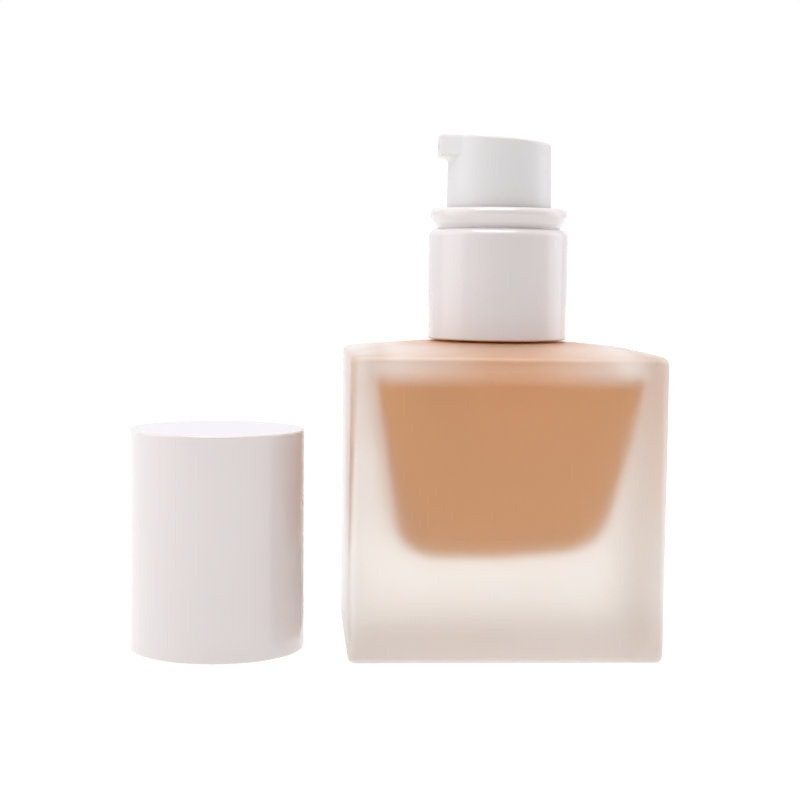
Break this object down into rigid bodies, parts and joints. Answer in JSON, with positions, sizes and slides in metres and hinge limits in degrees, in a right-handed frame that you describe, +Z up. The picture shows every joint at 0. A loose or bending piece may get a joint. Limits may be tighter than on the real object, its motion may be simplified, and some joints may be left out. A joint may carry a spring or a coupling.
{
  "type": "foundation bottle",
  "caption": "Square frosted-glass foundation bottle with a screw-on treatment pump in a gloss white collar, and its round overcap standing beside it.",
  "frame": {"origin": "centre of the bottle's flat underside, on the pump's axis", "axes": "+Z up along the pump axis; -Y out of the wide front face; -X the way the spout points, towards the standing overcap"},
  "size_m": [0.0853, 0.04, 0.084],
  "materials": {
    "frosted_glass": "acid-etched outside, clear inside",
    "foundation": "opaque skin-tone cream",
    "soft_seal": "soft foamed seal",
    "natural_plastic": "natural moulded plastic",
    "tube_plastic": "translucent extruded tube",
    "steel": "bright drawn stainless",
    "seal_plastic": "soft waxy plastic",
    "closure_plastic": "moulded satin white",
    "gloss_white": "high gloss white",
    "satin_white": "satin white",
    "liner_plastic": "moulded satin white"
  },
  "bodies": {
    "bottle": {"glass_bottle": "frosted_glass", "foundation_fill": "foundation"},
    "pump_engine": {"pump_housing": "natural_plastic", "housing_retainer": "natural_plastic", "dip_tube": "tube_plastic", "neck_gasket": "soft_seal"},
    "closure": {"threaded_closure": "closure_plastic", "collar_shell": "gloss_white"},
    "stroke": {"stem": "natural_plastic", "piston_core": "natural_plastic", "return_spring": "steel"},
    "piston": {"piston": "seal_plastic"},
    "ball": {"ball_valve": "steel"},
    "head": {"actuator_shell": "satin_white", "actuator_core": "natural_plastic", "nozzle_insert": "satin_white"},
    "overcap": {"cap_shell": "gloss_white", "cap_liner": "liner_plastic"}
  },
  "joints": [
    {"name": "engine_rise", "type": "slide", "parent": "bottle", "child": "pump_engine", "axis": [0, 0, 1], "range_m": [0, 0.00635]},
    {"name": "closure_turn", "type": "hinge", "parent": "pump_engine", "child": "closure", "pos_m": [0, 0, 0.058], "axis": [0, 0, 1], "range_deg": [0, 720]},
    {"name": "pump_press", "type": "slide", "parent": "pump_engine", "child": "stroke", "axis": [0, 0, 1], "range_m": [-0.0042, 0], "stiffness_N_per_m": 1000, "springref_m": 0.004, "deforming": ["return_spring"]},
    {"name": "piston_shift", "type": "slide", "parent": "stroke", "child": "piston", "axis": [0, 0, 1], "range_m": [0, 0.0008]},
    {"name": "head_swivel", "type": "hinge", "parent": "stroke", "child": "head", "pos_m": [0, 0, 0.078], "axis": [0, 0, 1], "continuous": true},
    {"name": "ball_lift", "type": "slide", "parent": "pump_engine", "child": "ball", "axis": [0, 0, 1], "range_m": [0, 0.0006]},
    {"name": "cap_lift", "type": "slide", "parent": "bottle", "child": "overcap", "axis": [0, 0, 1], "range_m": [0, 0.09]}
  ],
  "couplings": [
    {"joint": "closure_turn", "follows": "engine_rise", "rad_per_m": 1979}
  ]
}
